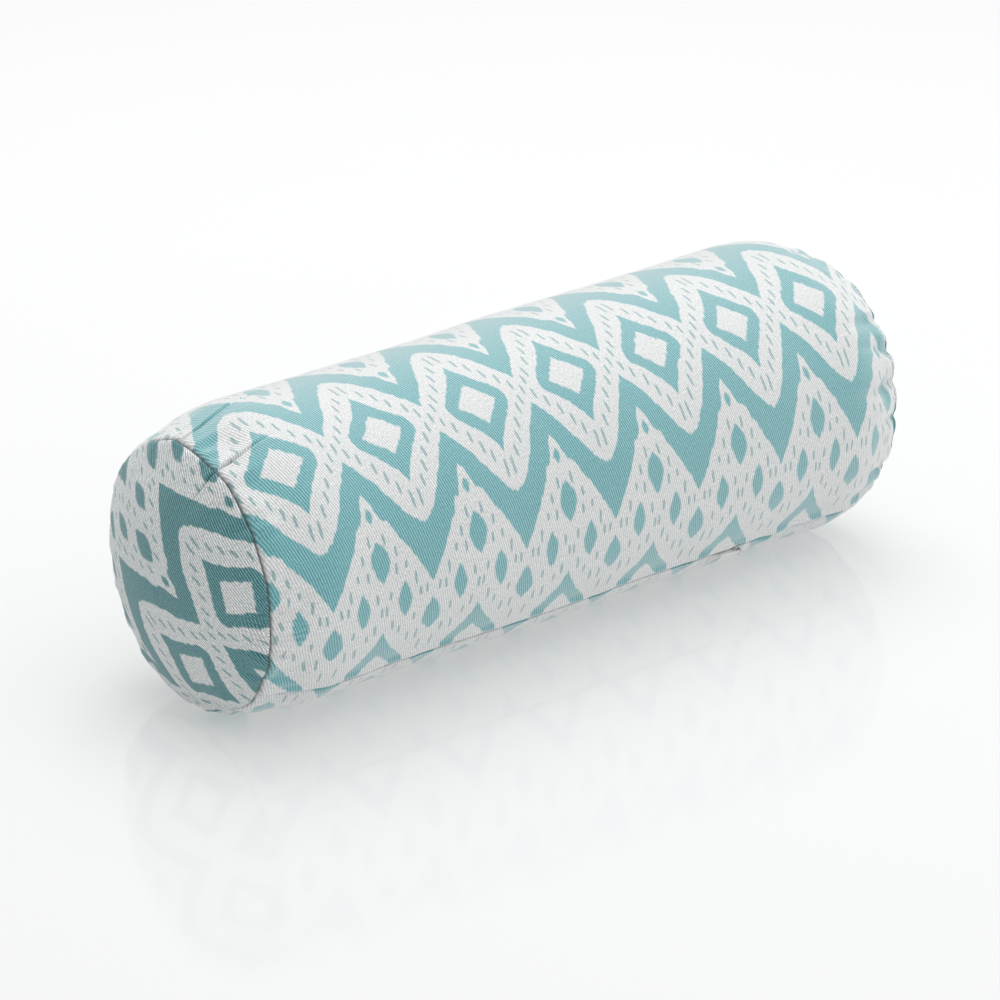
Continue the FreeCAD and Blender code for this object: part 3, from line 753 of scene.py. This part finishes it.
class Graph:
    """Short names for making and joining shader nodes."""

    def __init__(self, tree):
        self.tree = tree

    def node(self, kind, **settings):
        made = self.tree.nodes.new(kind)
        for name, value in settings.items():
            setattr(made, name, value)
        return made

    def join(self, value, socket):
        if isinstance(value, bpy.types.NodeSocket):
            self.tree.links.new(value, socket)
        else:
            socket.default_value = value

    def math(self, operation, *values, clamp=False):
        made = self.node("ShaderNodeMath", operation=operation, use_clamp=clamp)
        for place, value in enumerate(values):
            self.join(value, made.inputs[place])
        return made.outputs[0]

    def vector(self, operation, *values):
        made = self.node("ShaderNodeVectorMath", operation=operation)
        for place, value in enumerate(values):
            self.join(value, made.inputs[place])
        return made.outputs["Value"] if operation == "LENGTH" else made.outputs[0]

    def combine(self, x, y, z=0.0):
        made = self.node("ShaderNodeCombineXYZ")
        for place, value in enumerate((x, y, z)):
            self.join(value, made.inputs[place])
        return made.outputs[0]

    def noise(self, place, scale, detail=2.0, roughness=0.5):
        made = self.node("ShaderNodeTexNoise")
        self.join(place, made.inputs["Vector"])
        made.inputs["Scale"].default_value = scale
        made.inputs["Detail"].default_value = detail
        made.inputs["Roughness"].default_value = roughness
        return made.outputs[0]

    def mix(self, share, first, second):
        made = self.node("ShaderNodeMix", data_type="RGBA")
        self.join(share, made.inputs["Factor"])
        self.join(first, made.inputs[6])
        self.join(second, made.inputs[7])
        return made.outputs[2]

    def scaled(self, color, factor):
        """A colour made lighter or darker by a factor."""
        made = self.node("ShaderNodeVectorMath", operation="SCALE")
        self.join(color, made.inputs[0])
        self.join(factor, made.inputs["Scale"])
        return made.outputs[0]

    def curve(self, value, points):
        """A value carried over a line of straight stretches between points."""
        made = self.node("ShaderNodeFloatCurve")
        self.join(value, made.inputs["Value"])
        line = made.mapping.curves[0]
        scaled = [(x, y / CURVE_SCALE) for x, y in points]
        made.mapping.use_clip = False
        line.points[0].location = scaled[0]
        line.points[1].location = scaled[-1]
        for location in scaled[1:-1]:
            line.points.new(*location)
        for point in line.points:
            point.handle_type = "VECTOR"
        made.mapping.update()
        return self.math("MULTIPLY", made.outputs[0], CURVE_SCALE)

    def inside(self, depth):
        """1 where a depth inside an outline is positive, 0 outside, with the print's soft edge between."""
        return self.math("MULTIPLY_ADD", depth, 1.0 / SOFTNESS, 0.5, clamp=True)

    def bump(self, shader, height, strength, distance):
        """Fine relief from a height; the distance is in millimetres."""
        made = self.node("ShaderNodeBump")
        made.inputs["Strength"].default_value = strength
        made.inputs["Distance"].default_value = distance * METRES
        self.join(height, made.inputs["Height"])
        self.join(made.outputs[0], shader.inputs["Normal"])


def ikat_print(graph, place):
    """The print's two inks at a place: how much solid teal, and how much of the fainter dashes."""
    split = graph.node("ShaderNodeSeparateXYZ")
    graph.join(place, split.inputs[0])
    column, drop = split.outputs[0], split.outputs[1]
    # each warp thread is dyed a little out of step with the next, which feathers the edges
    thread = graph.math("FLOOR", graph.math("MULTIPLY", column, WARP_THREADS))
    slip = graph.node("ShaderNodeTexWhiteNoise", noise_dimensions="1D")
    graph.join(thread, slip.inputs["W"])
    fine = graph.combine(graph.math("MULTIPLY", column, 40.0), graph.math("MULTIPLY", drop, 9.0))
    bleed = graph.noise(fine, 1.0, 1.0)
    jump = graph.math("MULTIPLY_ADD", slip.outputs["Value"], THREAD_SLIP, -THREAD_SLIP / 2)
    jump = graph.math("ADD", jump, graph.math("MULTIPLY_ADD", bleed, INK_WANDER, -INK_WANDER / 2))
    drop = graph.math("ADD", drop, jump)
    broad = graph.combine(graph.math("MULTIPLY", column, 7.0), graph.math("MULTIPLY", drop, 7.0), 5.0)
    wander = graph.noise(broad, 1.0, 1.0)
    column = graph.math("ADD", column, graph.math("MULTIPLY_ADD", wander, INK_WANDER, -INK_WANDER / 2))

    off_column = graph.math("PINGPONG", column, 0.5)
    off_row = graph.math("PINGPONG", drop, HALF_DROP)
    share = graph.math("MULTIPLY", off_column, 2.0)

    # rings stand on the columns in one row and half way between them in the next
    next_row = graph.math("GREATER_THAN", off_row, HALF_DROP - 0.5)
    other_column = graph.math("MULTIPLY_ADD", off_column, -2.0, 0.5)
    ring_column = graph.math("ADD", off_column, graph.math("MULTIPLY", next_row, other_column))
    other_row = graph.math("MULTIPLY_ADD", off_row, -2.0, HALF_DROP)
    ring_row = graph.math("ADD", off_row, graph.math("MULTIPLY", next_row, other_row))
    outline = graph.curve(graph.math("MULTIPLY", ring_column, 2.0), RING_EDGE)
    ring = graph.inside(graph.math("SUBTRACT", outline, ring_row))
    heart = graph.math("DIVIDE", ring_column, HEART_WIDTH)
    heart = graph.math("MULTIPLY_ADD", heart, -HEART_HEIGHT, HEART_HEIGHT)
    heart = graph.inside(graph.math("SUBTRACT", heart, ring_row))
    ring = graph.math("SUBTRACT", ring, heart, clamp=True)

    below_top = graph.inside(graph.math("SUBTRACT", off_row, graph.curve(share, BAND_TOP)))
    above_bottom = graph.inside(graph.math("SUBTRACT", graph.curve(share, BAND_BOTTOM), off_row))
    band = graph.math("MULTIPLY", below_top, above_bottom)
    ink = graph.math("MAXIMUM", ring, band)

    for at_column, at_row, half_width, above, below in DROPS:
        across = graph.math("MULTIPLY_ADD", off_column, 1 / half_width, -at_column / half_width)
        across = graph.math("ABSOLUTE", across)
        down = graph.math("SUBTRACT", off_row, at_row)
        lower = graph.math("MULTIPLY", down, 1 / below)
        upper = graph.math("MULTIPLY", down, -1 / above)
        down = graph.math("MAXIMUM", lower, upper)
        size = graph.math("ADD", across, graph.math("POWER", down, 1.8))
        depth = graph.math("MULTIPLY_ADD", size, -half_width, half_width)
        ink = graph.math("MAXIMUM", ink, graph.inside(depth))

    point = graph.combine(off_column, off_row)
    nearest = None
    for at_column, at_row, half_height in DASHES:
        off = graph.vector("SUBTRACT", point, (at_column, at_row, 0.0))
        off = graph.vector("MULTIPLY", off, (1 / DASH_HALF_WIDTH, 1 / half_height, 0.0))
        size = graph.vector("LENGTH", graph.vector("MULTIPLY", off, off))
        nearest = size if nearest is None else graph.math("MINIMUM", nearest, size)
    dashes = graph.math("MULTIPLY_ADD", nearest, -1.1, 1.7, clamp=True)
    return ink, dashes


SHEEN_ROUGHNESS = 0.55


def new_material(name, roughness, sheen=0.0, coat=0.0):
    """A material, the graph that its nodes are made with and its shader."""
    material = bpy.data.materials.new(name)
    material.use_nodes = True
    shader = material.node_tree.nodes["Principled BSDF"]
    shader.inputs["Roughness"].default_value = roughness
    shader.inputs["Sheen Weight"].default_value = sheen
    shader.inputs["Sheen Roughness"].default_value = SHEEN_ROUGHNESS
    shader.inputs["Coat Weight"].default_value = coat
    return material, Graph(material.node_tree), shader


SEAM_SHADOW = 0.75         # reach of the painted shade in an end seam
RIGHT_SHADOW = 0.15        # how much darker the painted shade makes the right seam, and how much more the left
LEFT_SHADOW_MORE = 0.6
TWILL_PITCH = 1.4          # between two of the twill's diagonal lines
TWILL_RUN = (0.97, -0.22)  # across the lines, along the columns and down the rows


def seam_shadow(graph):
    """Painted shade: how much the cloth's colour is darkened beside the end seams, where its edges turn in;
    less at the right seam than at the left.
    """
    split = graph.node("ShaderNodeSeparateXYZ")
    graph.join(graph.node("ShaderNodeTexCoord").outputs["Object"], split.inputs[0])
    reach = SEAM_SHADOW * METRES
    off = graph.math("SUBTRACT", graph.math("ABSOLUTE", split.outputs[0]), HALF_SPAN * METRES)
    off = graph.math("MULTIPLY", off, 1 / reach)
    depth = graph.math("EXPONENT", graph.math("MULTIPLY", graph.math("MULTIPLY", off, off), -1.0))
    left = graph.math("LESS_THAN", split.outputs[0], 0.0)
    strength = graph.math("MULTIPLY_ADD", left, -LEFT_SHADOW_MORE, -RIGHT_SHADOW)
    return graph.math("MULTIPLY_ADD", depth, strength, 1.0)


def printed_twill(name, white, teal, relief, sheen):
    """The printed cloth; relief is how strongly the twill's lines show."""
    material, graph, shader = new_material(name, 0.8, sheen)
    shader.inputs["Specular IOR Level"].default_value = 0.5 + 0.3 * sheen
    uv = graph.node("ShaderNodeUVMap", uv_map="print").outputs[0]
    ink, dashes = ikat_print(graph, uv)
    split = graph.node("ShaderNodeSeparateXYZ")
    graph.join(uv, split.inputs[0])
    lines = graph.math("ADD", graph.math("MULTIPLY", split.outputs[0], TWILL_RUN[0]),
                       graph.math("MULTIPLY", split.outputs[1], TWILL_RUN[1]))
    uneven = graph.noise(uv, 30.0, 2.0)
    lines = graph.math("ADD", graph.math("MULTIPLY", lines, REPEAT / TWILL_PITCH),
                       graph.math("MULTIPLY", uneven, 0.35))
    ridge = graph.math("SINE", graph.math("MULTIPLY", lines, 2 * math.pi))
    yarn = graph.noise(graph.vector("MULTIPLY", uv, (90.0, 40.0, 1.0)), 1.0, 1.0)
    cloudy = graph.noise(uv, 1.3, 3.0)

    # along the twill's ridges more of the undyed thread shows
    worn = graph.math("MULTIPLY", ink, graph.math("MULTIPLY_ADD", ridge, -0.1, 0.92))
    color = graph.mix(worn, white, teal)
    faint = graph.math("MULTIPLY", dashes, graph.math("MULTIPLY_ADD", ink, -0.7, 0.7))
    color = graph.mix(faint, color, DASH)
    depth = graph.math("MULTIPLY_ADD", ink, 0.08, relief)
    shade = graph.math("MULTIPLY_ADD", graph.math("SUBTRACT", ridge, 1.0), depth, 1.0)
    shade = graph.math("MULTIPLY", shade, graph.math("MULTIPLY_ADD", yarn, 5 * relief, 1.0 - 2.5 * relief))
    shade = graph.math("MULTIPLY", shade, graph.math("MULTIPLY_ADD", cloudy, 0.06, 0.97))
    # painted shade: the cloth's colour darkens beside the end seams
    shade = graph.math("MULTIPLY", shade, seam_shadow(graph))
    graph.join(graph.scaled(color, shade), shader.inputs["Base Color"])
    graph.join(graph.math("MULTIPLY_ADD", yarn, 0.12, 0.74), shader.inputs["Roughness"])
    graph.bump(shader, graph.math("ADD", graph.math("MULTIPLY", ridge, 0.6), yarn), 0.5, 0.25)
    return material


def woven(name, color, pitch, roughness=0.85):
    """A plain weave of one colour, from object coordinates."""
    material, graph, shader = new_material(name, roughness, sheen=0.1)
    place = graph.node("ShaderNodeTexCoord").outputs["Object"]
    split = graph.node("ShaderNodeSeparateXYZ")
    graph.join(place, split.inputs[0])
    turn = 2 * math.pi / (pitch * METRES)
    warp = graph.math("SINE", graph.math("MULTIPLY", split.outputs[0], turn))
    depth_and_height = graph.math("ADD", split.outputs[1], split.outputs[2])
    weft = graph.math("SINE", graph.math("MULTIPLY", depth_and_height, turn))
    weave = graph.math("MULTIPLY", warp, weft)
    fuzz = graph.noise(place, 900.0, 2.0)
    cloudy = graph.noise(place, 25.0, 2.0)
    uneven = graph.math("ADD", graph.math("MULTIPLY", fuzz, 0.16), graph.math("MULTIPLY", cloudy, 0.08))
    shade = graph.math("ADD", graph.math("MULTIPLY_ADD", weave, 0.04, 0.86), uneven)
    graph.join(graph.scaled(color, shade), shader.inputs["Base Color"])
    graph.bump(shader, graph.math("ADD", weave, fuzz), 0.4, 0.15)
    return material


def fibre(name, color, scale, depth):
    """Twisted or loose fibre, for thread and stuffing. The depth is how far its strands stand out."""
    material, graph, shader = new_material(name, 0.9, 0.25)
    place = graph.node("ShaderNodeTexCoord").outputs["Object"]
    strands = graph.noise(graph.vector("MULTIPLY", place, (1.0, 0.35, 0.6)), scale, 4.0, 0.65)
    tufts = graph.noise(place, scale * 0.12, 2.0)
    shade = graph.math("MULTIPLY_ADD", strands, 0.22, 0.78)
    shade = graph.math("ADD", shade, graph.math("MULTIPLY", tufts, 0.12))
    graph.join(graph.scaled(color, shade), shader.inputs["Base Color"])
    graph.bump(shader, strands, 0.6, depth)
    return material


def moulded(name, color, roughness, coat):
    """Nylon and lacquered metal: smooth, a little uneven in gloss and tone."""
    material, graph, shader = new_material(name, roughness, coat=coat)
    place = graph.node("ShaderNodeTexCoord").outputs["Object"]
    smudge = graph.noise(place, 260.0, 3.0)
    grain = graph.noise(place, 1800.0, 2.0)
    tone = graph.math("MULTIPLY_ADD", smudge, 0.1, 0.93)
    graph.join(graph.scaled(color, tone), shader.inputs["Base Color"])
    graph.join(graph.math("MULTIPLY_ADD", smudge, 0.2, roughness - 0.1), shader.inputs["Roughness"])
    graph.bump(shader, grain, 0.15, 0.05)
    return material


FLOOR_GLOW = 0.34
FLOOR_WHITE = (0.465, 0.47, 0.47)
FLOOR_IOR = 1.42


def floor_material():
    """White acrylic that glows a little, as on a light table."""
    material, graph, shader = new_material("pale_floor", 0.1)
    place = graph.node("ShaderNodeTexCoord").outputs["Object"]
    haze = graph.noise(place, 3.0, 2.0)
    tone = graph.math("MULTIPLY_ADD", haze, 0.02, 0.99)
    graph.join(graph.scaled(FLOOR_WHITE, tone), shader.inputs["Base Color"])
    graph.join(graph.math("MULTIPLY_ADD", haze, 0.04, 0.06), shader.inputs["Roughness"])
    shader.inputs["IOR"].default_value = FLOOR_IOR
    shader.inputs["Emission Color"].default_value = (1.0, 1.0, 1.0, 1.0)
    shader.inputs["Emission Strength"].default_value = FLOOR_GLOW
    return material


# ---------------------------------------------------------------- the pieces and what they ride on

TWILL = printed_twill("printed_twill", OFF_WHITE, TEAL, 0.16, 1.0)
# the end panels' copy of the cloth: painted shade in a darker teal and stronger twill lines, and less sheen
END_TWILL_PAINTED_SHADE = printed_twill("printed_twill_ends_painted_shade", END_WHITE_PAINTED_SHADE, END_TEAL_PAINTED_SHADE, 0.25, 0.3)
CASE_COTTON = woven("case_cotton", (0.84, 0.84, 0.82), 0.7)
POLYESTER = fibre("polyester_fibre", (0.86, 0.86, 0.85), 420.0, 1.2)
SLOT_MATERIALS = {
    # the seam thread is a real part, coloured dark as painted shade in the end seams' gaps
    "thread": fibre("sewing_thread_painted_shade", (0.22, 0.28, 0.28), 2600.0, 0.08),
    "inner_thread": fibre("case_thread", (0.82, 0.82, 0.8), 2600.0, 0.08),
    # the zip tape is real, but its grey is painted shade that darkens the slit's line
    "zip_tape": woven("zip_tape", (0.55, 0.58, 0.57), 0.5, 0.8),
    "zip_coil": moulded("zip_nylon", (0.78, 0.79, 0.77), 0.4, 0.0),
    "zip_metal": moulded("white_lacquer", (0.75, 0.76, 0.74), 0.3, 0.4),
}


def declare(piece, node, material):
    """Give a soft piece its material, attach it to the pillow's body and hide the CAD node that it stands
    for.
    """
    piece.data.materials.clear()
    piece.data.materials.append(material)
    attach(piece, "pillow")
    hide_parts(node)


SIDES = {"left": -1, "right": 1}
declare(cover_body(), "cover_body_panel", TWILL)
for side_name, side_sign in SIDES.items():
    panel = cover_end(side_sign, f"cover_{side_name}_end_cloth")
    declare(panel, f"cover_{side_name}_end_panel", END_TWILL_PAINTED_SHADE)
declare(inner_case_body(), "inner_case_body", CASE_COTTON)
for side_name, side_sign in SIDES.items():
    panel = inner_case_end(side_sign, f"inner_case_{side_name}_end_cloth")
    declare(panel, f"inner_case_{side_name}_end", CASE_COTTON)
declare(fibre_filling(), "fibre_filling", POLYESTER)

SLOT_OF_NODE = {part["node"]: part["material_slot"] for part in frame["record"]["subparts"]}
for node_name, node_object in frame["nodes"].items():
    material_used = SLOT_MATERIALS.get(SLOT_OF_NODE[node_name])
    if material_used is not None:
        for slot_used in node_object.material_slots:
            slot_used.material = material_used


# ---------------------------------------------------------------- floor, light and camera

def stage_floor(size, material):
    bpy.ops.mesh.primitive_plane_add(size=size)
    plane = bpy.context.object
    plane.name = "floor"
    plane.data.materials.append(material)


def area_light(name, size, power, location, glossy=True):
    """A square lamp that is aimed at the middle of the floor."""
    light = bpy.data.lights.new(name, "AREA")
    light.shape = "SQUARE"
    light.size = size
    light.energy = power
    lamp = bpy.data.objects.new(name, light)
    lamp.location = location
    aim = -np.array(location)
    lamp.visible_glossy = glossy
    lamp.rotation_euler = (math.acos(-aim[2] / np.linalg.norm(aim)), 0, math.atan2(-aim[0], aim[1]))
    bpy.context.scene.collection.objects.link(lamp)


ROOM_LIGHT = 0.86
SIDE_SHADE = 0.65          # how bright the room is on the left, against 1 on the right

CAMERA_PLACE = (-0.9345, -1.0729, 0.6128)
CAMERA_YAW = 40.584        # from +Y towards +X
CAMERA_PITCH = -21.083
CAMERA_LENS = 95.73

camera_data = bpy.data.cameras.new("camera")
camera_data.lens = CAMERA_LENS
camera_data.sensor_width = 36
camera_data.clip_start = 0.05
camera = bpy.data.objects.new("camera", camera_data)
camera.location = CAMERA_PLACE
camera.rotation_euler = (math.radians(90 + CAMERA_PITCH), 0, math.radians(-CAMERA_YAW))
bpy.context.scene.collection.objects.link(camera)
bpy.context.scene.camera = camera

stage_floor(8.0, floor_material())
area_light("window", 1.8, 31.0, (0.45, 0.95, 2.4))
area_light("ceiling", 2.4, 18.0, (0.3, -0.9, 2.3))
area_light("fill", 2.0, 5.0, (1.0, -2.2, 0.9), glossy=False)

world = bpy.data.worlds.new("studio")
world.use_nodes = True
sky = Graph(world.node_tree)
direction = sky.node("ShaderNodeSeparateXYZ")
sky.join(sky.node("ShaderNodeTexCoord").outputs["Generated"], direction.inputs[0])
side_light = sky.math("MULTIPLY_ADD", direction.outputs[0], 0.5 * (1 - SIDE_SHADE), 0.5 * (1 + SIDE_SHADE))
sky.join(sky.scaled((1.0, 1.0, 1.0), side_light), world.node_tree.nodes["Background"].inputs[0])
world.node_tree.nodes["Background"].inputs[1].default_value = ROOM_LIGHT
bpy.context.scene.world = world
bpy.context.scene.view_settings.view_transform = "Standard"
